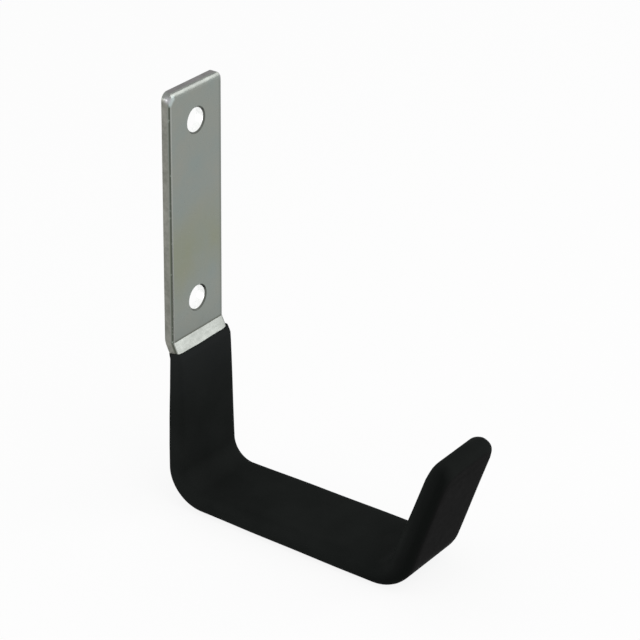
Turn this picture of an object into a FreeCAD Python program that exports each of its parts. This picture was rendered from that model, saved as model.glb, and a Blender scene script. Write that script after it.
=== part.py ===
"""Garage utility hook: a bent steel strap with a dipped vinyl sleeve, in millimetres.

X runs across the strap, the wall is the plane Y = 0 with the arm reaching towards -Y, and Z is up.
The origin lies on the wall, midway between the two screw holes.
"""
import FreeCAD
import Part
import math
import os

# Steel strap: a flat bar
STRAP_WIDTH = 25.0
STRAP_THICKNESS = 3.0
STRAP_EDGE_RADIUS = 1.0

# Mounting plate: the flat upper end of the strap, rolled over at its top edge, with two punched screw holes
PLATE_LENGTH = 81.4
PLATE_CORNER_RADIUS = 2.5
TOP_ROLL_LENGTH = 2.2
HOLE_DIAMETER = 7.6
HOLE_SPACING = 58.6
HOLE_FROM_TOP = 11.8
HOLE_BEVEL = 0.5

# Offset: a step pressed into the strap below the plate, which brings the drop forward of the wall.
# The press leaves a sharp crease in front and a rounded one behind.
OFFSET_DEPTH = 2.6
OFFSET_ANGLE = 26.0
OFFSET_BACK_RADIUS = 6.0

# Hook: lengths run between the corners of the strap's centre line
DROP_LENGTH = 47.0
ARM_LENGTH = 82.2
TIP_LENGTH = 43.7
TIP_LEAN = 18.7
TIP_CORNER_RADIUS = 4.5
ARM_BEND_RADIUS = 8.5
TIP_BEND_RADIUS = 9.0

# Vinyl sleeve: thin at its lip, thickest low down at the foot of the tip, where the dip ran to
SLEEVE_LIP_DROP = 3.2
SLEEVE_LIP_WALL = 0.7
SLEEVE_ARM_WALL = 1.85
SLEEVE_TIP_WALL = 2.3
SLEEVE_END_WALL = 1.9
SLEEVE_LIP_RADIUS = 0.4

# Values worked out from the sizes above
STRAP_FRONT = -STRAP_THICKNESS
PLATE_TOP = HOLE_SPACING / 2 + HOLE_FROM_TOP
PLATE_FOOT = PLATE_TOP - PLATE_LENGTH
OFFSET_SLOPE = math.tan(math.radians(OFFSET_ANGLE))
OFFSET_HEIGHT = OFFSET_DEPTH / OFFSET_SLOPE
ARM_TURN = 90.0
TIP_TURN = ARM_TURN - TIP_LEAN
PUNCH_LENGTH = 3 * STRAP_THICKNESS
ROLL_MARGIN = STRAP_THICKNESS
TIP_END_LENGTH = 2 * TIP_CORNER_RADIUS

SLEEVE_WALLS = (SLEEVE_LIP_WALL, SLEEVE_ARM_WALL, SLEEVE_TIP_WALL, SLEEVE_END_WALL)
NO_WALLS = (0.0, 0.0, 0.0, 0.0)
RIM_TOLERANCE = 0.01

Vector = FreeCAD.Vector
ACROSS = Vector(1, 0, 0)
ALONG = Vector(0, 0, 1)


def bend_radius(inner_radius):
    """Radius of the strap's centre line in a bend."""
    return inner_radius + STRAP_THICKNESS / 2


def bend_setback(turn, inner_radius):
    """Distance from a corner of the centre line to where its bend begins."""
    return bend_radius(inner_radius) * math.tan(math.radians(turn) / 2)


def shift(distance):
    """Move along the strap; local z is the way along it and local y is its front."""
    return FreeCAD.Placement(Vector(0, 0, distance), FreeCAD.Rotation())


def step_forward(drop):
    """Move down the offset by a height; the strap keeps its heading, because the press only shears it."""
    return FreeCAD.Placement(Vector(0, drop * OFFSET_SLOPE, drop), FreeCAD.Rotation())


def turn_over():
    """Face back along the strap."""
    return FreeCAD.Placement(Vector(), FreeCAD.Rotation(Vector(0, 1, 0), 180))


def bend_centre(inner_radius):
    """Local point that a bend turns about, in front of the strap."""
    return Vector(0, bend_radius(inner_radius), 0)


def after_bend(place, turn, inner_radius):
    """Place on the strap where a bend ends."""
    rotation = FreeCAD.Rotation(ACROSS, -turn)
    return place.multiply(FreeCAD.Placement(Vector(), rotation, bend_centre(inner_radius)))


def rolled_edges(wall):
    """Corner radii of the bare strap: rolled over in front, left square at the back."""
    return STRAP_EDGE_RADIUS, 0.0


def square_edges(wall):
    """Corner radii of the sleeve's cavity, which clears the strap's rolled edges."""
    return 0.0, 0.0


def coated_edges(wall):
    """Corner radii outside a coat, which rounds all the strap's edges."""
    return STRAP_EDGE_RADIUS + wall, STRAP_EDGE_RADIUS + wall


def outline(place, wall, edges):
    """Outline of the strap under a coat of the given wall: a rectangle with the given corners."""
    front_radius, back_radius = edges(wall)
    lines = []
    joints = []
    for quarter, (side, face) in enumerate(((1, 1), (-1, 1), (-1, -1), (1, -1))):
        radius = front_radius if face > 0 else back_radius
        x = side * (STRAP_WIDTH / 2 + wall - radius)
        y = face * (STRAP_THICKNESS / 2 + wall - radius)
        centre = Vector(x, y, 0)
        corner = [centre, centre]
        if radius > 0:
            arc = Part.makeCircle(radius, centre, ALONG, 90 * quarter, 90 * (quarter + 1))
            lines.append(arc)
            corner = [arc.Vertexes[0].Point, arc.Vertexes[-1].Point]
        joints.append(corner)
    for corner, following in zip(joints, joints[1:] + joints[:1]):
        lines.append(Part.makeLine(corner[1], following[0]))
    wire = Part.Wire(Part.__sortEdges__(lines))
    wire.Placement = place
    return wire


def straight_run(start, end, wall_start, wall_end, edges):
    """Straight stretch between two places, whose coat may thicken along it."""
    ends = [outline(start, wall_start, edges), outline(end, wall_end, edges)]
    return Part.makeLoft(ends, True, True)


def bend(place, turn, inner_radius, wall, edges):
    """Bent stretch: the outline turned about the bend's centre."""
    face = Part.Face(outline(place, wall, edges))
    centre = place.multVec(bend_centre(inner_radius))
    return face.revolve(centre, -ACROSS, turn)


def end_plate(place, length, corner_radius, wall, edges):
    """Flat end of the strap with rounded corners, reaching along local z, its front towards local y."""
    width = STRAP_WIDTH + 2 * wall
    thickness = STRAP_THICKNESS + 2 * wall
    reach = length + wall
    plate = Part.makeBox(width, thickness, reach, Vector(-width / 2, -thickness / 2, 0))
    far_edges = [e for e in plate.Edges if e.BoundBox.ZMin > reach / 2]
    corners = [e for e in far_edges if e.BoundBox.YLength > thickness / 2]
    plate = plate.makeFillet(corner_radius + wall, corners)
    for face, radius in zip((1, -1), edges(wall)):
        if radius > 0:
            free_edges = [e for e in plate.Edges if e.BoundBox.ZMax > RIM_TOLERANCE]
            level = face * thickness / 2
            rim = [e for e in free_edges if abs(e.BoundBox.Center.y - level) < RIM_TOLERANCE]
            plate = plate.makeFillet(radius, rim)
    plate.Placement = place
    return plate


def joined(pieces):
    """One solid from pieces that meet face to face."""
    solid = pieces[0].fuse(pieces[1:]).removeSplitter()
    return solid.Solids[0]


# Lengths of the straight stretches between the bends
arm_setback = bend_setback(ARM_TURN, ARM_BEND_RADIUS)
tip_setback = bend_setback(TIP_TURN, TIP_BEND_RADIUS)
drop_run = DROP_LENGTH - arm_setback
arm_run = ARM_LENGTH - arm_setback - tip_setback
tip_run = TIP_LENGTH - tip_setback - TIP_END_LENGTH

# Places along the strap, from the top of the plate to the start of the tip
top = FreeCAD.Placement(Vector(0, STRAP_FRONT / 2, PLATE_TOP), FreeCAD.Rotation(ACROSS, 180))
plate_end = top.multiply(shift(PLATE_LENGTH))
sleeve_start = plate_end.multiply(step_forward(SLEEVE_LIP_DROP))
drop_start = plate_end.multiply(step_forward(OFFSET_HEIGHT))
drop_end = drop_start.multiply(shift(drop_run))
arm_start = after_bend(drop_end, ARM_TURN, ARM_BEND_RADIUS)
arm_end = arm_start.multiply(shift(arm_run))
tip_start = after_bend(arm_end, TIP_TURN, TIP_BEND_RADIUS)
tip_end = tip_start.multiply(shift(tip_run))


def hook_body(first_place, walls, edges):
    """Strap or coated strap from a place on the offset to the tip, as a list of pieces."""
    lip_wall, arm_wall, tip_wall, end_wall = walls
    return [
        straight_run(first_place, drop_start, lip_wall, lip_wall, edges),
        straight_run(drop_start, drop_end, lip_wall, arm_wall, edges),
        bend(drop_end, ARM_TURN, ARM_BEND_RADIUS, arm_wall, edges),
        straight_run(arm_start, arm_end, arm_wall, tip_wall, edges),
        bend(arm_end, TIP_TURN, TIP_BEND_RADIUS, tip_wall, edges),
        straight_run(tip_start, tip_end, tip_wall, end_wall, edges),
        end_plate(tip_end, TIP_END_LENGTH, TIP_CORNER_RADIUS, end_wall, edges),
    ]


def top_roll():
    """Space outside the rolled top edge of the plate's front, which is an ellipse tangent to both faces."""
    centre = Vector(0, STRAP_FRONT + STRAP_EDGE_RADIUS, PLATE_TOP - TOP_ROLL_LENGTH)
    top_point = centre + Vector(0, 0, TOP_ROLL_LENGTH)
    front_point = centre - Vector(0, STRAP_EDGE_RADIUS, 0)
    ellipse = Part.Ellipse(top_point, front_point, centre)
    rolled = Part.Face(Part.Wire(ellipse.toShape())).extrude(ACROSS * 2 * STRAP_WIDTH)
    rolled.translate(-ACROSS * STRAP_WIDTH)
    depth = STRAP_EDGE_RADIUS + ROLL_MARGIN
    height = TOP_ROLL_LENGTH + ROLL_MARGIN
    corner = Vector(-STRAP_WIDTH, STRAP_FRONT - ROLL_MARGIN, PLATE_TOP - TOP_ROLL_LENGTH)
    return Part.makeBox(2 * STRAP_WIDTH, depth, height, corner).cut(rolled)


def screw_hole(height):
    """Round punch through the plate, standing clear of both its faces."""
    start = Vector(0, (PUNCH_LENGTH - STRAP_THICKNESS) / 2, height)
    return Part.makeCylinder(HOLE_DIAMETER / 2, PUNCH_LENGTH, start, Vector(0, -1, 0))


def is_back_crease(edge):
    """True for the edge across the strap's back where the offset begins."""
    box = edge.BoundBox
    level = box.ZLength < RIM_TOLERANCE and abs(box.ZMax - PLATE_FOOT) < RIM_TOLERANCE
    return level and box.XLength > STRAP_WIDTH / 2 and abs(box.YMax) < RIM_TOLERANCE


def is_front_rim(edge):
    """True for the rim of a screw hole on the plate's front face."""
    box = edge.BoundBox
    flat = box.YLength < RIM_TOLERANCE and abs(box.YMax - STRAP_FRONT) < RIM_TOLERANCE
    return flat and isinstance(edge.Curve, Part.Circle)


def steel_strap():
    """The whole strap: plate, offset, drop, arm and tip."""
    upwards = plate_end.multiply(turn_over())
    plate = end_plate(upwards, PLATE_LENGTH, PLATE_CORNER_RADIUS, 0, rolled_edges)
    strap = joined([plate] + hook_body(plate_end, NO_WALLS, rolled_edges))
    strap = strap.makeFillet(OFFSET_BACK_RADIUS, [e for e in strap.Edges if is_back_crease(e)])
    strap = strap.cut(top_roll())
    for height in (HOLE_SPACING / 2, -HOLE_SPACING / 2):
        strap = strap.cut(screw_hole(height))
    rims = [e for e in strap.Edges if is_front_rim(e)]
    return strap.makeChamfer(HOLE_BEVEL, rims).Solids[0]


def is_lip(edge):
    """True for the rim at the sleeve's open upper end."""
    along = sleeve_start.Rotation.multVec(ALONG)
    heights = [(v.Point - sleeve_start.Base).dot(along) for v in edge.Vertexes]
    return max(abs(h) for h in heights) < RIM_TOLERANCE


def vinyl_sleeve():
    """Sleeve drawn tight over the strap: open at its lip, closed over the tip."""
    skin = joined(hook_body(sleeve_start, SLEEVE_WALLS, coated_edges))
    skin = skin.makeFillet(SLEEVE_LIP_RADIUS, [e for e in skin.Edges if is_lip(e)])
    cavity = joined(hook_body(plate_end, NO_WALLS, square_edges))
    return skin.cut(cavity).Solids[0]


os.makedirs("parts", exist_ok=True)
for name, solid in (("steel_strap", steel_strap()), ("vinyl_sleeve", vinyl_sleeve())):
    solid.exportStep(f"parts/{name}.step")
    box = solid.optimalBoundingBox()
    print(name, "valid", solid.isValid(), "volume", round(solid.Volume, 1), "faces", len(solid.Faces))
    print("  size", round(box.XLength, 2), round(box.YLength, 2), round(box.ZLength, 2))
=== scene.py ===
# %% [markdown]
# A garage utility hook
# This lesson dresses a wall hook: a bent strip of zinc-plated steel with a soft black vinyl sleeve over
# its arm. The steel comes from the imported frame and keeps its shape. The sleeve is soft, so it is
# modelled here as a mesh.

# %% Load the frame
import bpy
import bmesh
import cmath
import math
from mathutils import Matrix, Vector


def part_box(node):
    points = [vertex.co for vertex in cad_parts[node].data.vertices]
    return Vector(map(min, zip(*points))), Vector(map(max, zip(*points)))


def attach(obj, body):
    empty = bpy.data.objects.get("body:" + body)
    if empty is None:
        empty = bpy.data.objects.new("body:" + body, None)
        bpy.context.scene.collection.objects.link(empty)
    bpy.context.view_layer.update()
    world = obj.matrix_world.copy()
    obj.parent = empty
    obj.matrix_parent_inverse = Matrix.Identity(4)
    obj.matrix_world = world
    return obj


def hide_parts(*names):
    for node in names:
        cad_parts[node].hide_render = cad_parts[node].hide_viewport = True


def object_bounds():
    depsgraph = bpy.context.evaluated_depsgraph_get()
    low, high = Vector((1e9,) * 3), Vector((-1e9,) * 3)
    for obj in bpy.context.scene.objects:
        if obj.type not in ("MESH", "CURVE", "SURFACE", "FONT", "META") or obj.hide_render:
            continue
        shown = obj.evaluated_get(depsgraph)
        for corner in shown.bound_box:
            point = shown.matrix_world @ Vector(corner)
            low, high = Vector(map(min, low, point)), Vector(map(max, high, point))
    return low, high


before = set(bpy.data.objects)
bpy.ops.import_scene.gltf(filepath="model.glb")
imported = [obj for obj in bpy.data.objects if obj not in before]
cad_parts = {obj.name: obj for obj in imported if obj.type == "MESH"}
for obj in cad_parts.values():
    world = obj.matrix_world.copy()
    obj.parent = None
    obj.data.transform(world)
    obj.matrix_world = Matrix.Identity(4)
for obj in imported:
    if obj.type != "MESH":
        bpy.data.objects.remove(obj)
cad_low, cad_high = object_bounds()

MM = 0.001
scene = bpy.context.scene
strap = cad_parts["steel_strap"]
strap_low, strap_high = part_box("steel_strap")
print("frame:", sorted(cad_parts), "size in mm:", [round(v / MM, 1) for v in cad_high - cad_low])

# %% [markdown]
# The camera
# A product picture like this one is taken from well back with a long lens, so that parallel edges stay
# nearly parallel. A camera can be aimed with a Track To constraint, but the view is known as angles here,
# so the three axes of the camera are worked out from them and put straight into its matrix.

# %% Place the camera
CAMERA_AZIMUTH = math.radians(-54.63)
CAMERA_ELEVATION = math.radians(27.44)
CAMERA_ROLL = math.radians(0.847)
CAMERA_DISTANCE = 785.71 * MM
CAMERA_RIGHT = 39.289 * MM
CAMERA_UP = -33.790 * MM
LENS = 147.11
SENSOR_WIDTH = 36.0
CLIP_START = 10.0 * MM


def direction(azimuth, elevation):
    """Unit vector from the hook towards a place that stands at these angles around it."""
    level = math.cos(elevation)
    return Vector((math.sin(azimuth) * level, -math.cos(azimuth) * level, math.sin(elevation)))


def add_camera():
    """A camera that looks at the hook from the left, in front and above."""
    backward = direction(CAMERA_AZIMUTH, CAMERA_ELEVATION)
    level_right = Vector((math.cos(CAMERA_AZIMUTH), math.sin(CAMERA_AZIMUTH), 0))
    level_up = backward.cross(level_right)
    right = level_right * math.cos(CAMERA_ROLL) + level_up * math.sin(CAMERA_ROLL)
    up = backward.cross(right)
    data = bpy.data.cameras.new("camera")
    data.sensor_width = SENSOR_WIDTH
    data.lens = LENS
    data.clip_start = CLIP_START
    camera = bpy.data.objects.new("camera", data)
    scene.collection.objects.link(camera)
    turn = Matrix((right, up, backward)).transposed()
    place = right * CAMERA_RIGHT + up * CAMERA_UP + backward * CAMERA_DISTANCE
    camera.matrix_world = Matrix.Translation(place) @ turn.to_4x4()
    return camera


scene.camera = add_camera()
print("camera at", [round(v, 3) for v in scene.camera.matrix_world.translation])

# %% [markdown]
# Small helpers for shader nodes
# Materials are built from nodes. Adding a node and filling its inputs takes several lines each time, so
# these helpers do it in one. An input takes either a plain value or the output of another node.

# %% Node helpers


def fill(tree, socket, value):
    """Set an input to a plain value, or link another node's output to it."""
    if isinstance(value, bpy.types.NodeSocket):
        tree.links.new(value, socket)
    else:
        socket.default_value = value


def add_node(tree, kind, settings=None, **inputs):
    """Add a node, choose its settings and fill its inputs by their names, with _ for a space."""
    node = tree.nodes.new(kind)
    for name, value in (settings or {}).items():
        setattr(node, name, value)
    for name, value in inputs.items():
        fill(tree, node.inputs[name.replace("_", " ")], value)
    return node


def math_node(tree, operation, *values):
    """One step of arithmetic on values or outputs."""
    node = add_node(tree, "ShaderNodeMath", {"operation": operation})
    for socket, value in zip(node.inputs, values):
        fill(tree, socket, value)
    return node.outputs["Value"]


def spread(tree, value, low, high, to_low=0.0, to_high=1.0):
    """Stretch the range from low to high over another range, and hold it there beyond its ends."""
    ends = {"From_Min": low, "From_Max": high, "To_Min": to_low, "To_Max": to_high}
    return add_node(tree, "ShaderNodeMapRange", Value=value, **ends).outputs["Result"]


def mix_colours(tree, factor, first, second):
    """Blend two colours by a factor; the Mix node has its colours at inputs 6 and 7 and at output 2."""
    node = add_node(tree, "ShaderNodeMix", {"data_type": "RGBA"})
    fill(tree, node.inputs["Factor"], factor)
    fill(tree, node.inputs[6], first)
    fill(tree, node.inputs[7], second)
    return node.outputs[2]


def axes(tree, vector):
    """X, Y and Z of a place or a direction."""
    return add_node(tree, "ShaderNodeSeparateXYZ", Vector=vector).outputs


def product(tree, first, *others):
    """Masks or values multiplied together."""
    for other in others:
        first = math_node(tree, "MULTIPLY", first, other)
    return first


def new_material(name):
    """A material and its tree, still without nodes."""
    material = bpy.data.materials.new(name)
    material.use_nodes = True
    material.node_tree.nodes.clear()
    return material, material.node_tree


def linear(red, green, blue):
    """A colour as a picture editor gives it, 0 to 255, turned into the linear light that shaders use."""
    parts = [v / 255 for v in (red, green, blue)]
    return tuple(v / 12.92 if v < 0.04045 else ((v + 0.055) / 1.055) ** 2.4 for v in parts) + (1.0,)


print("helpers ready; a mid grey of 128 is", round(linear(128, 128, 128)[0], 3), "in linear light")

# %% [markdown]
# The studio: floor and backdrop
# The hook is shown on plain white. The floor is a large pale sheet under the arm, and the world behind it
# is white. Both must look white to the camera and in the steel without flooding the hook with light. The
# Light Path node tells which kind of ray is asking, so those rays see an even white, while the light that
# falls on the hook is set apart. The floor keeps part of its real shading, so that a soft shadow stays on
# it.

# %% White for the rays that see the studio
WHITE = (1.0, 1.0, 1.0, 1.0)
FLOOR_SIZE = 6.0
FLOOR_COLOUR = (0.95, 0.95, 0.95, 1.0)
FLOOR_WHITE_SHARE = 0.88
WORLD_FILL = 0.65


def seen_directly(tree):
    """1 for rays that come from the camera, a reflection or a clear material, and 0 for the rest."""
    rays = add_node(tree, "ShaderNodeLightPath").outputs
    mirrored = math_node(tree, "MAXIMUM", rays["Is Glossy Ray"], rays["Is Transmission Ray"])
    return math_node(tree, "MAXIMUM", rays["Is Camera Ray"], mirrored)


def blend_shaders(tree, factor, first, second):
    """Mix two shaders by a factor."""
    node = add_node(tree, "ShaderNodeMixShader")
    fill(tree, node.inputs[0], factor)
    fill(tree, node.inputs[1], first)
    fill(tree, node.inputs[2], second)
    return node.outputs["Shader"]


def white_world():
    """A world that looks white and lights the hook gently."""
    world = bpy.data.worlds.new("studio")
    world.use_nodes = True
    tree = world.node_tree
    tree.nodes.clear()
    lighting = add_node(tree, "ShaderNodeBackground", Color=WHITE, Strength=WORLD_FILL)
    backdrop = add_node(tree, "ShaderNodeBackground", Color=WHITE, Strength=1.0)
    both = blend_shaders(tree, seen_directly(tree), lighting.outputs[0], backdrop.outputs[0])
    add_node(tree, "ShaderNodeOutputWorld", Surface=both)
    return world


def floor_material():
    """Pale floor: mostly even white for the rays that see it, with its own soft shadow left in."""
    material, tree = new_material("floor")
    shaded = add_node(tree, "ShaderNodeBsdfDiffuse", Color=FLOOR_COLOUR)
    even = add_node(tree, "ShaderNodeEmission", Color=WHITE, Strength=1.0)
    share = product(tree, seen_directly(tree), FLOOR_WHITE_SHARE)
    both = blend_shaders(tree, share, shaded.outputs[0], even.outputs[0])
    add_node(tree, "ShaderNodeOutputMaterial", Surface=both)
    return material


def add_floor(height):
    """A square sheet under the hook."""
    half = FLOOR_SIZE / 2
    mesh = bpy.data.meshes.new("floor")
    corners = [(-half, -half, height), (half, -half, height), (half, half, height), (-half, half, height)]
    mesh.from_pydata(corners, [], [(0, 1, 2, 3)])
    mesh.materials.append(floor_material())
    floor = bpy.data.objects.new("floor", mesh)
    scene.collection.objects.link(floor)
    return floor


scene.world = white_world()
scene.view_settings.view_transform = "Standard"
floor = add_floor(cad_low.z)
print("floor at", round(floor.data.vertices[0].co.z / MM, 2), "mm")

# %% [markdown]
# Softboxes
# Metal shows what stands around it. The sloping band under the plate and the rounded top edge both look
# towards the right, low in front of the hook, so a large softbox there makes them shine while the flat
# plate stays grey. A second one overhead lights the arm, and a third, low at the back on the left, lifts
# the dark side and puts a glint on the plate's corner. A lamp's power is worked out from how bright its
# sheet looks.

# %% Hang the softboxes
SOFTBOXES = {
    "front_softbox": {"azimuth": 47, "elevation": 17, "distance": 1.3, "size": (0.8, 0.75), "glow": 1.9},
    "top_softbox": {"azimuth": -30, "elevation": 66, "distance": 1.2, "size": (0.7, 0.7), "glow": 1.6},
    "side_softbox": {"azimuth": -120, "elevation": 8, "distance": 1.2, "size": (0.4, 0.3), "glow": 3.5},
}
POWER_PER_AREA = 4.0


def add_softbox(name, azimuth, elevation, distance, size, glow):
    """A sheet of light that faces the middle of the hook; glow 1 looks white."""
    width, height = size
    lamp = bpy.data.lights.new(name, "AREA")
    lamp.shape = "RECTANGLE"
    lamp.size = width
    lamp.size_y = height
    lamp.energy = POWER_PER_AREA * glow * width * height
    box = bpy.data.objects.new(name, lamp)
    scene.collection.objects.link(box)
    outward = direction(math.radians(azimuth), math.radians(elevation))
    box.location = (cad_low + cad_high) / 2 + outward * distance
    box.rotation_euler = outward.to_track_quat("Z", "Y").to_euler()
    box.visible_camera = False
    return box


for name, values in SOFTBOXES.items():
    softbox = add_softbox(name, **values)
    print(name, "at", [round(v, 2) for v in softbox.location], "power", round(softbox.data.energy, 2))

# %% [markdown]
# The line that the sleeve follows
# The sleeve coats the bent strip, so it follows the strip's own centre line: a short step under the
# plate, the drop, the level arm and the tip that leans out. A curve object with a bevel could sweep a
# section along it, but the sleeve's wall grows thicker on the way, so the line is made of straight runs
# and arcs that can be asked for any distance. A complex number holds a place in the side view: its real
# part is y and its imaginary part is z. The step is pressed into the strip and only shears it, so a
# section there stays level, as it is on the drop.

# %% Corners of the strip's centre line
STRAP_WIDTH = strap_high.x - strap_low.x
STRAP_THICKNESS = 3.0 * MM
STRAP_EDGE_RADIUS = 1.0 * MM
PLATE_LENGTH = 81.4 * MM
OFFSET_DEPTH = 2.6 * MM
OFFSET_ANGLE = math.radians(26.0)
DROP_LENGTH = 47.0 * MM
ARM_LENGTH = 82.2 * MM
TIP_LENGTH = 43.7 * MM
TIP_LEAN = math.radians(18.7)
ARM_BEND = 8.5 * MM + STRAP_THICKNESS / 2
TIP_BEND = 9.0 * MM + STRAP_THICKNESS / 2

plate_foot = complex(-STRAP_THICKNESS / 2, strap_high.z - PLATE_LENGTH)
drop_top = plate_foot - complex(OFFSET_DEPTH, OFFSET_DEPTH / math.tan(OFFSET_ANGLE))
heel = drop_top - complex(0, DROP_LENGTH)
toe = heel - complex(ARM_LENGTH, 0)
tip_end = toe + TIP_LENGTH * complex(-math.sin(TIP_LEAN), math.cos(TIP_LEAN))
DOWN = -1j
centre_corners = [drop_top, heel, toe, tip_end]
bend_radii = [ARM_BEND, TIP_BEND]


def rounded_line(corners, radii):
    """Straight runs and arcs along a line with rounded corners: (length, start, heading, turn) of each."""
    pieces = []
    start = corners[0]
    for before, corner, after, radius in zip(corners, corners[1:], corners[2:], radii):
        heading = (corner - before) / abs(corner - before)
        turn = cmath.phase((after - corner) / abs(after - corner) / heading)
        setback = radius * math.tan(abs(turn) / 2)
        bend_start = corner - heading * setback
        pieces.append((abs(bend_start - start), start, heading, 0.0))
        pieces.append((radius * abs(turn), bend_start, heading, turn))
        start = corner + heading * cmath.rect(1, turn) * setback
    last = corners[-1] - start
    pieces.append((abs(last), start, last / abs(last), 0.0))
    return pieces


line_pieces = rounded_line(centre_corners, bend_radii)
step_slope = (drop_top - plate_foot) / (plate_foot - drop_top).imag


def along_line(distance):
    """Place and heading on the centre line at a distance below the step; a negative one lies on the step."""
    if distance < 0:
        return drop_top + step_slope * distance, DOWN
    for length, start, heading, turn in line_pieces[:-1]:
        if distance < length:
            break
        distance -= length
    else:
        length, start, heading, turn = line_pieces[-1]
    if turn == 0:
        return start + heading * distance, heading
    radius = math.copysign(length / abs(turn), turn)
    angle = distance / radius
    place = start + heading * radius * complex(math.sin(angle), 1 - math.cos(angle))
    return place, heading * cmath.rect(1, angle)


line_marks = [0.0]
for piece in line_pieces:
    line_marks.append(line_marks[-1] + piece[0])
LINE_LENGTH = line_marks[-1]
print("centre line is", round(LINE_LENGTH / MM, 1), "mm long, in", len(line_pieces), "pieces")

# %% [markdown]
# The vinyl sleeve
# A sleeve like this is made by dipping the warm hook in liquid vinyl. The coat is thin at its lip,
# thicker lower down where it ran, rounded over every edge of the strip and closed over the tip. A
# Solidify modifier would give one even wall, so the skin is built from rings instead: each ring is a
# rounded rectangle, as far outside the strip as the wall is thick there, and neighbouring rings are
# joined by quads. The inside is a second set of rings, close round the strip, so the sleeve is a true
# shell with a lip.

# %% Walls of the sleeve
LIP_DROP = 3.2 * MM
LIP_WALL = 0.7 * MM
ARM_WALL = 1.85 * MM
TIP_WALL = 2.3 * MM
END_WALL = 1.9 * MM
LIP_BACK_WALL = 0.3 * MM
STEP_BACK_WALL = 0.87 * MM
DROP_BACK_STOPS = [(20.0 * MM, 1.47 * MM), (30.0 * MM, 1.6 * MM)]
HEEL_BACK_WALL = 1.5 * MM

drop_mark, drop_end_mark, arm_mark, arm_end_mark, tip_mark, _ = line_marks
lip_mark = LIP_DROP - (plate_foot - drop_top).imag
wall_stops = [
    (lip_mark, LIP_WALL),
    (drop_mark, LIP_WALL),
    (drop_end_mark, ARM_WALL),
    (arm_mark, ARM_WALL),
    (arm_end_mark, TIP_WALL),
    (tip_mark, TIP_WALL),
    (LINE_LENGTH, END_WALL),
]
# As far as the heel the back has its own wall, thinner at the lip and over the heel
back_stops = [(lip_mark, LIP_BACK_WALL), (drop_mark, STEP_BACK_WALL)] + DROP_BACK_STOPS
back_stops += [(drop_end_mark, HEEL_BACK_WALL)] + [stop for stop in wall_stops if stop[0] >= arm_mark]


def wall_at(distance, stops):
    """Thickness of the coat at a distance along the line, between the stops on either side of it."""
    if distance <= stops[0][0]:
        return stops[0][1]
    for (start, first), (end, second) in zip(stops, stops[1:]):
        if distance <= end:
            return first + (second - first) * (distance - start) / (end - start)
    return stops[-1][1]


heel_walls = [round(wall_at(drop_end_mark, stops) / MM, 2) for stops in (wall_stops, back_stops)]
print("lip", round(-lip_mark / MM, 1), "mm up the step; walls above the heel, front and back:", heel_walls)

# %% [markdown]
# One ring
# A ring is a slice through the coat, level on the step and square to the strip below it. Its front and
# its back are two halves with depths and corner radii of their own, because the strip's front edges are
# rolled over and its back edges are square. A mesh circle could be scaled to this outline, but its
# corners would stretch, so the points are worked out. Near the lip they are also shifted along the strip,
# as a coat dipped by hand has no straight edge.

# %% One ring of the sleeve
CORNER_STEPS = 6
FLAT_STEPS = 12
LIP_SAG = 0.5 * MM
LIP_BACK_SAG = 0.4 * MM
LIP_CORNER = 2.2 * MM
LIP_CORNER_LIFT = 2.6
LIP_WAVE = 0.05 * MM
LIP_WAVE_TURNS = (5, 3)
LIP_FADE = 6.0 * MM


def half_ring(half_width, depth, radius_across, radius_deep):
    """Half of a rounded rectangle as (across, deep) points, from the middle of one side to the other."""
    corner = []
    for step in range(CORNER_STEPS + 1):
        angle = math.pi / 2 * step / CORNER_STEPS
        across = half_width - radius_across * (1 - math.cos(angle))
        deep = depth - radius_deep * (1 - math.sin(angle))
        corner.append((across, deep))
    flat = half_width - radius_across
    front = [(flat * (1 - 2 * step / FLAT_STEPS), depth) for step in range(1, FLAT_STEPS)]
    return [(half_width, 0.0)] + corner + front + [(-a, d) for a, d in reversed(corner)]


def ring_outline(half_width, front, back):
    """Rounded rectangle of two halves, each given as its depth and its corner radii, across and deep."""
    back_half = half_ring(half_width, *back)
    return half_ring(half_width, *front) + [(-a, -d) for a, d in back_half]


def lip_shift(across, deep, distance):
    """How far the lip strays down the strip: it sags in front and behind and lifts at the front corners."""
    fade = max(0.0, 1 - (distance - lip_mark) / LIP_FADE)
    side = across / (STRAP_WIDTH / 2)
    forward = deep / (STRAP_THICKNESS / 2 + LIP_WALL)
    corner = min(1.0, max(0.0, (abs(across) - STRAP_WIDTH / 2 - LIP_WALL) / LIP_CORNER + 1))
    sag = LIP_SAG * (1 - LIP_CORNER_LIFT * corner) if forward > 0 else -LIP_BACK_SAG
    wave = LIP_WAVE * math.sin(LIP_WAVE_TURNS[0] * side + LIP_WAVE_TURNS[1] * forward)
    return fade * fade * (sag * forward + wave)


def ring_points(distance, outline):
    """Put a ring's outline at a distance along the line, square to the heading there."""
    points = []
    for across, deep in outline:
        place, heading = along_line(distance + lip_shift(across, deep, distance))
        front = heading * -1j
        spot = place + front * deep
        points.append(Vector((across, spot.real, spot.imag)))
    return points


print("a ring has", 2 * len(half_ring(1, 1, 0.1, 0.1)), "points")

# %% [markdown]
# The rings of the skin and of the inside
# The skin starts at the inner edge of the lip, rolls over it, follows the strip and is rounded off over
# the tip. A Subdivision Surface modifier could round a few coarse rings, but it would pull the coat in
# from its set walls. So the rings stand close together in the bends and further apart on the straight
# runs.

# %% Rings of the skin and of the inside
STRAIGHT_STEP = 2.5 * MM
BEND_STEP = math.radians(5)
STEP_RINGS = 4
LIP_STEPS = 5
END_STEPS = 14
LIP_RADIUS = 0.4 * MM
TIP_CORNER = 4.5 * MM
INSIDE_GAP = 0.02 * MM
BACK_ROUNDING = 2.0
DIP_WAVE = 0.05 * MM
SHORT_WAVE = 7.0 * MM
LONG_WAVE = 17.0 * MM
END_FLAT_COSINE = 0.01
END_CORNER_SHARE = 0.6
END_RIM_SHARE = 0.9


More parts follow.
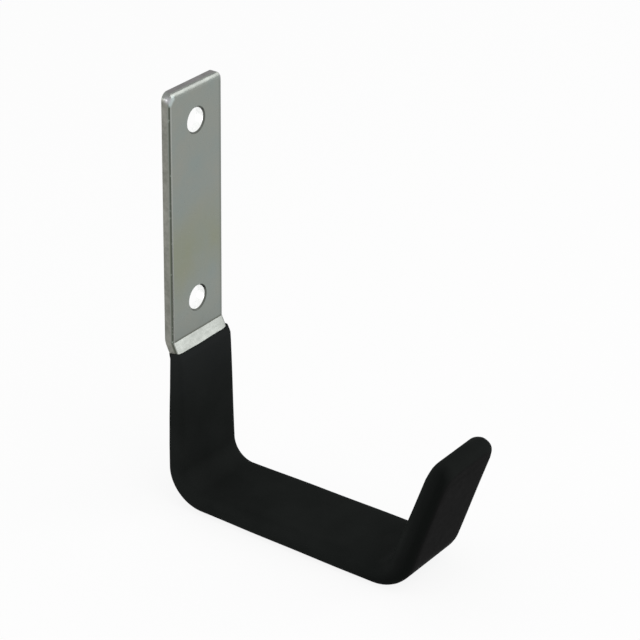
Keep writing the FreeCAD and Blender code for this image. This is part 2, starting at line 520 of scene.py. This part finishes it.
def ring_distances(first, last):
    """Distances for rings: evenly along the step and straight runs, and by equal angles round the bends."""
    found = [first * step / STEP_RINGS for step in range(STEP_RINGS - 1, 0, -1)]
    for mark, (length, _, _, turn) in zip(line_marks, line_pieces):
        count = max(1, round(abs(turn) / BEND_STEP if turn else length / STRAIGHT_STEP))
        found += [mark + length * step / count for step in range(count)]
    return [d for d in found if first < d < last]


def skin_ring(distance, share=1.0):
    """Ring of the skin, a little wavy from the dip; round the lip it has only a share of the wall."""
    wall = wall_at(distance, wall_stops) * share
    back_wall = wall_at(distance, back_stops) * share
    front_corner = STRAP_EDGE_RADIUS + wall
    back_corner = min(front_corner, BACK_ROUNDING * wall)
    wave = DIP_WAVE * math.sin(distance / SHORT_WAVE) * math.sin(distance / LONG_WAVE + 1)
    wave *= min(1, wall / ARM_WALL)
    half_width = STRAP_WIDTH / 2 + wave + wall
    half_depth = STRAP_THICKNESS / 2 + wave
    front = (half_depth + wall, front_corner, front_corner)
    back = (half_depth + back_wall, back_corner, back_corner)
    return ring_points(distance, ring_outline(half_width, front, back))


def end_rings(wall, rim, apex):
    """Rings that round off the closed end: its corners in front view and its rim in side view."""
    half_width = STRAP_WIDTH / 2 + wall
    half_depth = STRAP_THICKNESS / 2 + wall
    corner = TIP_CORNER + wall
    rings = []
    for step in range(1, END_STEPS + 1):
        angle = math.pi / 2 * step / END_STEPS
        distance = apex - corner * (1 - math.sin(angle))
        width = half_width - corner * (1 - math.cos(angle))
        past = min(rim, max(0.0, distance - (apex - rim)))
        depth = half_depth - rim + math.sqrt(rim * rim - past * past)
        across = min(rim / max(math.cos(angle), END_FLAT_COSINE), END_CORNER_SHARE * width)
        half = (depth, across, min(rim, END_RIM_SHARE * depth))
        rings.append(ring_points(distance, ring_outline(width, half, half)))
    return rings


def skin_rings():
    """Outer rings, from the inner edge of the lip to the closed end."""
    rings = []
    for step in range(LIP_STEPS + 1):
        angle = math.pi / 2 * step / LIP_STEPS
        share = 1 - LIP_RADIUS / LIP_WALL * (1 - math.sin(angle))
        rings.append(skin_ring(lip_mark + LIP_RADIUS * (1 - math.cos(angle)), share))
    apex = LINE_LENGTH + END_WALL
    corner_start = apex - TIP_CORNER - END_WALL
    distances = ring_distances(lip_mark + 2 * LIP_RADIUS, corner_start) + [corner_start]
    rings += [skin_ring(distance) for distance in distances]
    return rings + end_rings(END_WALL, STRAP_EDGE_RADIUS + END_WALL, apex)


def inside_rings():
    """Rings close round the strip, from the lip to the strip's end."""
    front = STRAP_EDGE_RADIUS + INSIDE_GAP
    half_width, half_depth = STRAP_WIDTH / 2 + INSIDE_GAP, STRAP_THICKNESS / 2 + INSIDE_GAP
    outline = ring_outline(half_width, (half_depth, front, front), (half_depth, INSIDE_GAP, INSIDE_GAP))
    corner_start = LINE_LENGTH - TIP_CORNER
    distances = [lip_mark] + ring_distances(lip_mark + LIP_RADIUS, corner_start) + [corner_start]
    rings = [ring_points(distance, outline) for distance in distances]
    return rings + end_rings(INSIDE_GAP, INSIDE_GAP, LINE_LENGTH + INSIDE_GAP)


print("skin rings", len(skin_rings()), "inside rings", len(inside_rings()))

# %% [markdown]
# One closed shell
# The inside rings run from the tip up to the lip, and the skin's rings from the lip back to the tip, so
# one list of rings goes through the whole coat. A Boolean modifier could hollow out a solid coat, but it
# leaves uneven faces. BMesh joins each ring to the next with quads and closes both ends, so that every
# edge is shared by two faces.

# %% Join the rings into one shell


def bridge(mesh, first, second):
    """Join two rings with quads."""
    count = len(first)
    for i in range(count):
        j = (i + 1) % count
        mesh.faces.new((first[i], first[j], second[j], second[i]))


def close_ring(mesh, ring):
    """Close a ring with a strip of quads between its front and its back, and a triangle at each side."""
    count = len(ring)
    half = count // 2
    mesh.faces.new((ring[0], ring[1], ring[count - 1]))
    for i in range(1, half - 1):
        mesh.faces.new((ring[i], ring[i + 1], ring[count - i - 1], ring[count - i]))
    mesh.faces.new((ring[half - 1], ring[half], ring[half + 1]))


def build_sleeve():
    """Skin, lip and inside as one closed mesh."""
    mesh = bmesh.new()
    rings = list(reversed(inside_rings())) + skin_rings()
    rows = [[mesh.verts.new(point) for point in ring] for ring in rings]
    for first, second in zip(rows, rows[1:]):
        bridge(mesh, first, second)
    close_ring(mesh, rows[0])
    close_ring(mesh, rows[-1])
    bmesh.ops.recalc_face_normals(mesh, faces=mesh.faces)
    for face in mesh.faces:
        face.smooth = True
    data = bpy.data.meshes.new("dipped_sleeve")
    mesh.to_mesh(data)
    mesh.free()
    sleeve = bpy.data.objects.new("dipped_sleeve", data)
    scene.collection.objects.link(sleeve)
    return sleeve


sleeve = build_sleeve()
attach(sleeve, "root")
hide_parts("vinyl_sleeve")
print("sleeve has", len(sleeve.data.polygons), "faces")

# %% [markdown]
# Effects that both finishes share
# Steel and vinyl both have a fine grain and a soft cloudiness, and both get painted shade along their rounded
# edges, the steel a painted highlight beside it as well. Each effect is a node group, built once and placed
# in both materials with its own values. The groups give only masks and heights; the shader itself stays in
# the material.

# %% Node groups
GRAIN_COARSE = 0.23
GRAIN_RANGE = (0.35, 0.65)
CLOUD_ROUGHNESS = 0.55
CLOUD_RANGE = (0.32, 0.68)
RIM_RANGE = (0.02, 0.15)
SLOPE_RANGE = (0.1, 0.35)


def new_group(name, inputs, outputs):
    """An empty node group with number or vector inputs and number outputs: its tree and its two ends."""
    group = bpy.data.node_groups.new(name, "ShaderNodeTree")
    for label, kind, value in inputs:
        socket = group.interface.new_socket(label, in_out="INPUT", socket_type=kind)
        if value is not None:
            socket.default_value = value
    for label in outputs:
        group.interface.new_socket(label, in_out="OUTPUT", socket_type="NodeSocketFloat")
    return group, group.nodes.new("NodeGroupInput").outputs, group.nodes.new("NodeGroupOutput").inputs


def grain_group():
    """Fine grain: a value for roughness and a height for bump."""
    inputs = [("Vector", "NodeSocketVector", None), ("Scale", "NodeSocketFloat", 1000.0)]
    group, given, result = new_group("fine_grain", inputs, ["Value", "Height"])
    place, scale = given["Vector"], given["Scale"]
    fine = add_node(group, "ShaderNodeTexNoise", Vector=place, Scale=scale, Detail=4.0)
    coarse_scale = product(group, scale, GRAIN_COARSE)
    coarse = add_node(group, "ShaderNodeTexNoise", Vector=place, Scale=coarse_scale, Detail=2.0)
    both = math_node(group, "ADD", fine.outputs["Fac"], coarse.outputs["Fac"])
    height = product(group, both, 0.5)
    fill(group, result["Height"], height)
    fill(group, result["Value"], spread(group, height, *GRAIN_RANGE))
    return group


def cloud_group():
    """Soft cloudiness: a mask that drifts between 0 and 1."""
    inputs = [("Vector", "NodeSocketVector", None), ("Scale", "NodeSocketFloat", 100.0)]
    group, given, result = new_group("soft_clouds", inputs, ["Mask"])
    place, scale = given["Vector"], given["Scale"]
    noise = add_node(
        group, "ShaderNodeTexNoise", Vector=place, Scale=scale, Detail=3.0, Roughness=CLOUD_ROUGHNESS
    )
    fill(group, result["Mask"], spread(group, noise.outputs["Fac"], *CLOUD_RANGE))
    return group


def rounding_group():
    """Masks of the front's edges, where it turns into a side, of its rim just before them, and of slopes."""
    inputs = [
        ("Normal", "NodeSocketVector", None),
        ("Edge Start", "NodeSocketFloat", 0.4),
        ("Edge End", "NodeSocketFloat", 0.95),
        ("Edge Blur", "NodeSocketFloat", 0.15),
        ("Front Start", "NodeSocketFloat", -0.08),
        ("Front End", "NodeSocketFloat", -0.24),
    ]
    group, given, result = new_group("turned_edges", inputs, ["Edge", "Rim", "Slope"])
    size = add_node(group, "ShaderNodeVectorMath", {"operation": "ABSOLUTE"})
    fill(group, size.inputs[0], given["Normal"])
    parts = axes(group, size.outputs["Vector"])
    facing = axes(group, given["Normal"])
    start, end, blur = given["Edge Start"], given["Edge End"], given["Edge Blur"]
    rise = spread(group, parts["X"], start, math_node(group, "ADD", start, blur))
    fall = spread(group, parts["X"], math_node(group, "SUBTRACT", end, blur), end, 1.0, 0.0)
    front = spread(group, facing["Y"], given["Front Start"], given["Front End"])
    rim = math_node(group, "SUBTRACT", spread(group, parts["X"], *RIM_RANGE), rise)
    flat = math_node(group, "MAXIMUM", parts["X"], parts["Y"])
    fill(group, result["Edge"], product(group, rise, fall, front))
    fill(group, result["Rim"], product(group, rim, front))
    fill(group, result["Slope"], spread(group, product(group, flat, parts["Z"]), *SLOPE_RANGE))
    return group


groups = {"grain": grain_group(), "clouds": cloud_group(), "turned": rounding_group()}


def use_group(tree, name, **inputs):
    """Place a shared effect in a material."""
    return add_node(tree, "ShaderNodeGroup", {"node_tree": groups[name]}, **inputs).outputs


def lay_over(tree, colour, layers):
    """Lay finishes over a colour one after the other, each by its own mask."""
    for mask, finish in layers:
        colour = mix_colours(tree, mask, colour, finish)
    return colour


print("groups:", [group.name for group in groups.values()])

# %% [markdown]
# Zinc-plated steel: sides, ends and holes
# The strip is cut from flat steel and plated with zinc, a cool grey with a greenish cast. Its sheared sides
# and its cut end are rougher and a little browner, and the cut end on top is darkened further with painted
# shade. The walls of the punched holes are bright, and painted shade lies on the bevels round them.
# An image texture could carry all this, but it would need an unwrapped mesh. So one material does it,
# with masks made from the place and the direction of the surface, which say what shows where.

# %% Zinc masks: sides, ends and holes
HOLE_RADIUS = 3.8 * MM
HOLE_SPACING = 58.6 * MM
HOLE_BEVEL = 0.5 * MM
MASK_BLUR = 0.05 * MM
SIDE_FACING = (0.1, 0.4)
CUT_END_FACING = (0.4, 0.8)


def length_of(tree, first, second):
    """Length of a step whose two parts are given."""
    squares = [math_node(tree, "POWER", part, 2.0) for part in (first, second)]
    return math_node(tree, "SQRT", math_node(tree, "ADD", *squares))


def hole_masks(tree, place):
    """1 on the walls of the two screw holes, and 1 on the bevels round them, which get painted shade."""
    parts = axes(tree, place)
    height = math_node(tree, "SUBTRACT", math_node(tree, "ABSOLUTE", parts["Z"]), HOLE_SPACING / 2)
    distance = length_of(tree, parts["X"], height)
    wall = spread(tree, distance, HOLE_RADIUS, HOLE_RADIUS + MASK_BLUR, 1.0, 0.0)
    rim_end = HOLE_RADIUS + HOLE_BEVEL
    rim = spread(tree, distance, rim_end, rim_end + MASK_BLUR, 1.0, 0.0)
    return wall, rim


def sheared_masks(tree, normal):
    """1 on the sides and ends of the strip, which face along X or up, and 1 on the end that faces up, which
    also gets painted shade.
    """
    facing = axes(tree, normal)
    sheared = spread(tree, math_node(tree, "ABSOLUTE", facing["Y"]), *SIDE_FACING, 1.0, 0.0)
    return sheared, spread(tree, facing["Z"], *CUT_END_FACING)


print("holes of", round(2 * HOLE_RADIUS / MM, 1), "mm, at", round(HOLE_SPACING / 2 / MM, 1), "mm up and down")

# %% [markdown]
# Straw tint and crease
# The plate is cloudy, with a straw tint in the lower half. A shadow line is painted along the crease at the
# plate's foot, with painted shade that fades out above it. Such marks could be painted by hand. They lie at
# known heights here, so a range of heights is mask enough.

# %% Zinc masks: tint and crease
STRAW_HEIGHT = -13.0 * MM
STRAW_REACH = 20.0 * MM
CREASE_HEIGHT = plate_foot.imag
CREASE_LINE = 0.9 * MM
CREASE_REACH = 10.0 * MM
CREASE_SHADE = 0.12


def straw_mask(tree, place):
    """1 in the lower half of the plate, which is tinted straw."""
    away = math_node(tree, "SUBTRACT", axes(tree, place)["Z"], STRAW_HEIGHT)
    return spread(tree, math_node(tree, "ABSOLUTE", away), 0.0, STRAW_REACH, 1.0, 0.0)


def crease_shadow_mask(tree, place):
    """A painted shadow line along the crease at the plate's foot, and a faint painted shade that fades out
    above it.
    """
    height = axes(tree, place)["Z"]
    line = spread(tree, height, CREASE_HEIGHT, CREASE_HEIGHT + CREASE_LINE, 1.0, 0.0)
    shade = spread(tree, height, CREASE_HEIGHT, CREASE_HEIGHT + CREASE_REACH, CREASE_SHADE, 0.0)
    return math_node(tree, "MAXIMUM", line, shade)


print("crease at", round(CREASE_HEIGHT / MM, 1), "mm")

# %% [markdown]
# Rims and corners
# The front's edges are rolled over. Their rim gets a painted highlight, and painted shade along the right
# side instead; the plate's top corners get a painted glint, and the left one a painted highlight on its flat
# front. A Bevel node could find the edges for these, but it would treat them all alike. So these masks are
# made from the way the surface faces and from its distance to the sides and the top.

# %% Zinc masks: rims and corners
FRONT_FACING = (-0.4, -0.7)
FLAT_FACING = (0.5, 0.1)
# Width of the painted shade along the right rim
RIGHT_SHADE_WIDTH = 1.9 * MM
CORNER_ARC = 1.9 * MM
CORNER_BLUR = 0.9 * MM
TOP_ROLL_LENGTH = 2.2 * MM
GLINT_DEPTH = 1.6 * MM
GLINT_CORE = 0.3 * GLINT_DEPTH
GLINT_WIDTH = 1.5 * MM
GLINT_FRONT = (-0.2 * STRAP_THICKNESS, -0.8 * STRAP_THICKNESS)


def front_masks(tree, normal):
    """1 on all of the front, and 1 only where it isn't rolled over at the top."""
    facing = axes(tree, normal)
    front = spread(tree, facing["Y"], *FRONT_FACING)
    return front, product(tree, front, spread(tree, facing["Z"], *FLAT_FACING))


def right_rim_shade_mask(tree, place, front):
    """1 along the right edge of the front, where shade is painted."""
    across = axes(tree, place)["X"]
    return product(tree, front, spread(tree, across, strap_high.x - RIGHT_SHADE_WIDTH, strap_high.x))


def corner_highlight_mask(tree, place, flat):
    """1 on the flat front at the plate's left top corner, beyond an arc that joins the rolled edges there; a
    highlight is painted there.
    """
    parts = axes(tree, place)
    side = strap_high.x - STRAP_EDGE_RADIUS - CORNER_ARC
    across = math_node(tree, "SUBTRACT", product(tree, parts["X"], -1.0), side)
    up = math_node(tree, "SUBTRACT", parts["Z"], strap_high.z - TOP_ROLL_LENGTH - CORNER_ARC)
    away = length_of(tree, across, up)
    beyond = spread(tree, away, CORNER_ARC - CORNER_BLUR / 2, CORNER_ARC + CORNER_BLUR / 2)
    near = [spread(tree, part, 0.0, CORNER_BLUR) for part in (across, up)]
    return product(tree, beyond, flat, *near)


def glint_mask(tree, place):
    """1 in front at the plate's two top corners, where a glint is painted."""
    parts = axes(tree, place)
    away = math_node(tree, "SUBTRACT", parts["Z"], strap_high.z - GLINT_DEPTH)
    high = spread(tree, math_node(tree, "ABSOLUTE", away), GLINT_CORE, GLINT_DEPTH, 1.0, 0.0)
    across = math_node(tree, "ABSOLUTE", parts["X"])
    outer = spread(tree, across, strap_high.x - GLINT_WIDTH, strap_high.x)
    return product(tree, high, outer, spread(tree, parts["Y"], *GLINT_FRONT))


print("dull rim", round(RIGHT_SHADE_WIDTH / MM, 1), "mm wide; glint", round(GLINT_WIDTH / MM, 1), "mm wide")

# %% [markdown]
# The colours of the zinc
# Each finish is one colour or a blend of two near ones. A Color Ramp could hold several colours in one node,
# but the finishes overlap. So they are laid over each other like coats of paint, each by its own mask: the
# plated flats first and the holes last. Some of these layers are painted shade, painted highlights and a
# painted glint, as noted at their colours.

# %% Zinc colours
ZINC_BLUE = linear(132, 140, 136)
ZINC_WARM = linear(138, 141, 134)
ZINC_STRAW = linear(133, 137, 116)
SHEARED_DARK = linear(118, 119, 112)
SHEARED_LIGHT = linear(143, 143, 136)
# Painted shade: a dark line along the front's rolled edges
EDGE_SHADE_LINE = linear(84, 88, 79)
# Painted highlight on the rim beside the front's edges
RIM_HIGHLIGHT = linear(158, 161, 156)
# Painted shade along the right rim of the front
RIGHT_RIM_SHADE = linear(98, 101, 97)
# Painted shadow along the crease at the plate's foot
CREASE_SHADOW = linear(86, 87, 77)
# Painted highlight on the flat front at the left top corner
CORNER_HIGHLIGHT = linear(176, 187, 185)
# Painted glint at the plate's two top corners
GLINT = linear(180, 180, 183)
CRUMB = linear(150, 160, 150)
# The cut end's colours, darkened with painted shade
CUT_END_SHADED_DARK = linear(104, 103, 102)
CUT_END_SHADED_LIGHT = linear(128, 126, 126)
BURNISHED_DARK = linear(122, 125, 121)
BURNISHED_LIGHT = linear(136, 139, 135)
HOLE_WALL = linear(250, 251, 250)
# Painted shade on the bevels round the holes
HOLE_RIM_SHADE = linear(94, 97, 92)
ZINC_CLOUDS = 90.0
STRAW_CLOUDS = 40.0
PRESS_CLOUDS = 700.0
PRESS_STRETCH = (0.35, 1.0, 1.0)
CRUMB_GRAIN = 900.0
CRUMB_RANGE = (0.75, 0.95)


def plate_colour(tree, place):
    """Plated flats: bluish to warm grey, straw in the lower half, with a painted shadow along the crease."""
    clouds = use_group(tree, "clouds", Vector=place, Scale=ZINC_CLOUDS)["Mask"]
    straw = use_group(tree, "clouds", Vector=place, Scale=STRAW_CLOUDS)["Mask"]
    layers = [
        (product(tree, straw, straw_mask(tree, place)), ZINC_STRAW),
        (crease_shadow_mask(tree, place), CREASE_SHADOW),
    ]
    return lay_over(tree, mix_colours(tree, clouds, ZINC_BLUE, ZINC_WARM), layers)


def side_colour(tree, crumbs, cut_end):
    """Sheared sides and cut ends, both mottled by the crumbs; the cut ends are darkened with painted shade.
    """
    side = mix_colours(tree, crumbs, SHEARED_DARK, SHEARED_LIGHT)
    end = mix_colours(tree, crumbs, CUT_END_SHADED_DARK, CUT_END_SHADED_LIGHT)
    return mix_colours(tree, cut_end, side, end)


def slope_colour(tree, place):
    """Burnished slopes, whose clouds the press drew out across the strip."""
    drawn_out = add_node(tree, "ShaderNodeVectorMath", {"operation": "MULTIPLY"})
    fill(tree, drawn_out.inputs[0], place)
    fill(tree, drawn_out.inputs[1], PRESS_STRETCH)
    pressed = use_group(tree, "clouds", Vector=drawn_out.outputs["Vector"], Scale=PRESS_CLOUDS)["Mask"]
    return mix_colours(tree, pressed, BURNISHED_DARK, BURNISHED_LIGHT)


def zinc_colour(tree, place, normal, turned, sheared, cut_end):
    """All the finishes of the strip with its painted shade and highlights, laid over each other from the
    flats to the holes.
    """
    crumbs = use_group(tree, "grain", Vector=place, Scale=CRUMB_GRAIN)["Value"]
    # The front's edges get a line of painted shade, with pale crumbs in it
    line = mix_colours(tree, spread(tree, crumbs, *CRUMB_RANGE), EDGE_SHADE_LINE, CRUMB)
    front, flat = front_masks(tree, normal)
    wall, rim = hole_masks(tree, place)
    layers = [
        (sheared, side_colour(tree, crumbs, cut_end)),
        (turned["Slope"], slope_colour(tree, place)),
        (turned["Rim"], RIM_HIGHLIGHT),
        (right_rim_shade_mask(tree, place, front), RIGHT_RIM_SHADE),
        (turned["Edge"], line),
        (corner_highlight_mask(tree, place, flat), CORNER_HIGHLIGHT),
        (glint_mask(tree, place), GLINT),
        (rim, HOLE_RIM_SHADE),
        (wall, HOLE_WALL),
    ]
    return lay_over(tree, plate_colour(tree, place), layers)


print("zinc runs from", [round(v, 2) for v in ZINC_BLUE[:3]], "to", [round(v, 2) for v in ZINC_WARM[:3]])

# %% [markdown]
# The zinc as a material
# Zinc is a metal with a satin grain, so Metallic is 1, and the grain group drives the roughness and a
# very shallow bump. A displaced mesh could show the grain too, but it is far too fine for that. The
# sheared sides are made rougher than the rest.

# %% Zinc material
# Where the painted shade line and the painted rim highlight lie on the front's rolled edges
EDGE_SHADE_RANGE = {"Edge_Start": 0.42, "Edge_End": 0.96, "Edge_Blur": 0.15}
ZINC_GRAIN = 2600.0
ZINC_ROUGHNESS = (0.27, 0.35)
SIDE_ROUGHNESS = 0.12
ZINC_BUMP = 0.12
BUMP_HEIGHT = 0.02 * MM


def zinc_material():
    """Plated steel with sheared sides, burnished slopes and bright holes."""
    material, tree = new_material("zinc_plate")
    given = add_node(tree, "ShaderNodeTexCoord").outputs
    place, normal = given["Object"], given["Normal"]
    turned = use_group(tree, "turned", Normal=normal, **EDGE_SHADE_RANGE)
    sheared, cut_end = sheared_masks(tree, normal)
    colour = zinc_colour(tree, place, normal, turned, sheared, cut_end)
    grain = use_group(tree, "grain", Vector=place, Scale=ZINC_GRAIN)
    roughness = spread(tree, grain["Value"], 0.0, 1.0, *ZINC_ROUGHNESS)
    rough_side = math_node(tree, "SUBTRACT", sheared, turned["Slope"])
    rough_side = math_node(tree, "MAXIMUM", rough_side, 0.0)
    roughness = math_node(tree, "MULTIPLY_ADD", rough_side, SIDE_ROUGHNESS, roughness)
    bump = add_node(
        tree, "ShaderNodeBump", Strength=ZINC_BUMP, Distance=BUMP_HEIGHT, Height=grain["Height"]
    )
    shader = add_node(
        tree, "ShaderNodeBsdfPrincipled", Base_Color=colour, Metallic=1.0, Roughness=roughness,
        Normal=bump.outputs["Normal"],
    )
    add_node(tree, "ShaderNodeOutputMaterial", Surface=shader.outputs[0])
    return material


zinc = zinc_material()
for slot in strap.material_slots:
    slot.material = zinc
print("zinc on", len(strap.material_slots), "slot of", strap.name)

# %% [markdown]
# Black vinyl
# The coat is a soft matt black. One flat black would look like a cut-out, so it is a little cloudy, with
# painted light near its lip and painted shade on the outside of the tip and along the tip's edges. A second
# set of nodes could do this, but the clouds, the grain and the edges of the steel serve here too: the same
# groups with softer values.

# %% Vinyl colours
VINYL_DARK = linear(26, 28, 27)
VINYL_LIGHT = linear(30, 32, 31)
# Painted shade along the tip's edges
VINYL_EDGE_SHADE = linear(18, 20, 19)
# Painted shade on the outside of the tip
VINYL_TIP_SHADE = linear(20, 20, 20)
# Painted light near the lip, fading out down the drop
VINYL_PAINTED_LIGHT = linear(35, 37, 37)
VINYL_CLOUDS = 70.0
TIP_EDGE = {"Edge_Start": 0.15, "Edge_End": 2.0, "Edge_Blur": 0.5, "Front_Start": 0.5, "Front_End": -0.4}
TIP_START = -70.0 * MM
TIP_FULL = -86.0 * MM
TIP_SHADE_FACING = (0.1, -0.3)
PAINTED_LIGHT_START = -62.0 * MM
PAINTED_LIGHT_FULL = -44.0 * MM


def painted_light_mask(tree, parts):
    """1 near the lip, where light is painted on the coat; it fades out down the drop."""
    high = spread(tree, parts["Z"], PAINTED_LIGHT_START, PAINTED_LIGHT_FULL)
    return product(tree, high, spread(tree, parts["Y"], TIP_START, TIP_START / 2))


def vinyl_colour(tree, place, normal):
    """Cloudy black, with painted light at the lip and painted shade on the outside and the edges of the tip.
    """
    parts = axes(tree, place)
    clouds = use_group(tree, "clouds", Vector=place, Scale=VINYL_CLOUDS)["Mask"]
    turned = use_group(tree, "turned", Normal=normal, **TIP_EDGE)
    tip = spread(tree, parts["Y"], TIP_START, TIP_FULL)
    outside = spread(tree, axes(tree, normal)["Z"], *TIP_SHADE_FACING)
    layers = [
        (painted_light_mask(tree, parts), VINYL_PAINTED_LIGHT),
        (product(tree, tip, outside), VINYL_TIP_SHADE),
        (product(tree, tip, turned["Edge"]), VINYL_EDGE_SHADE),
    ]
    return lay_over(tree, mix_colours(tree, clouds, VINYL_DARK, VINYL_LIGHT), layers)


print("vinyl is about", round(VINYL_DARK[1], 3), "in linear light")

# %% [markdown]
# The vinyl as a material
# The skin of the coat is matt with a slight sheen. A Diffuse shader would be quite dull, so the coat has
# the Principled shader as well, with the grain group for its roughness and bump and with a low specular
# level, which keeps it from mirroring the white studio.

# %% Vinyl material
VINYL_GRAIN = 1500.0
VINYL_ROUGHNESS = (0.4, 0.5)
VINYL_BUMP = 0.1
VINYL_SPECULAR = 0.002


def vinyl_material():
    """Matt black with a fine skin."""
    material, tree = new_material("black_vinyl")
    given = add_node(tree, "ShaderNodeTexCoord").outputs
    place = given["Object"]
    colour = vinyl_colour(tree, place, given["Normal"])
    grain = use_group(tree, "grain", Vector=place, Scale=VINYL_GRAIN)
    roughness = spread(tree, grain["Value"], 0.0, 1.0, *VINYL_ROUGHNESS)
    bump = add_node(
        tree, "ShaderNodeBump", Strength=VINYL_BUMP, Distance=BUMP_HEIGHT, Height=grain["Height"]
    )
    shader = add_node(
        tree, "ShaderNodeBsdfPrincipled", Base_Color=colour, Roughness=roughness,
        Specular_IOR_Level=VINYL_SPECULAR, Normal=bump.outputs["Normal"],
    )
    add_node(tree, "ShaderNodeOutputMaterial", Surface=shader.outputs[0])
    return material


sleeve.data.materials.append(vinyl_material())
print("vinyl on", sleeve.name)
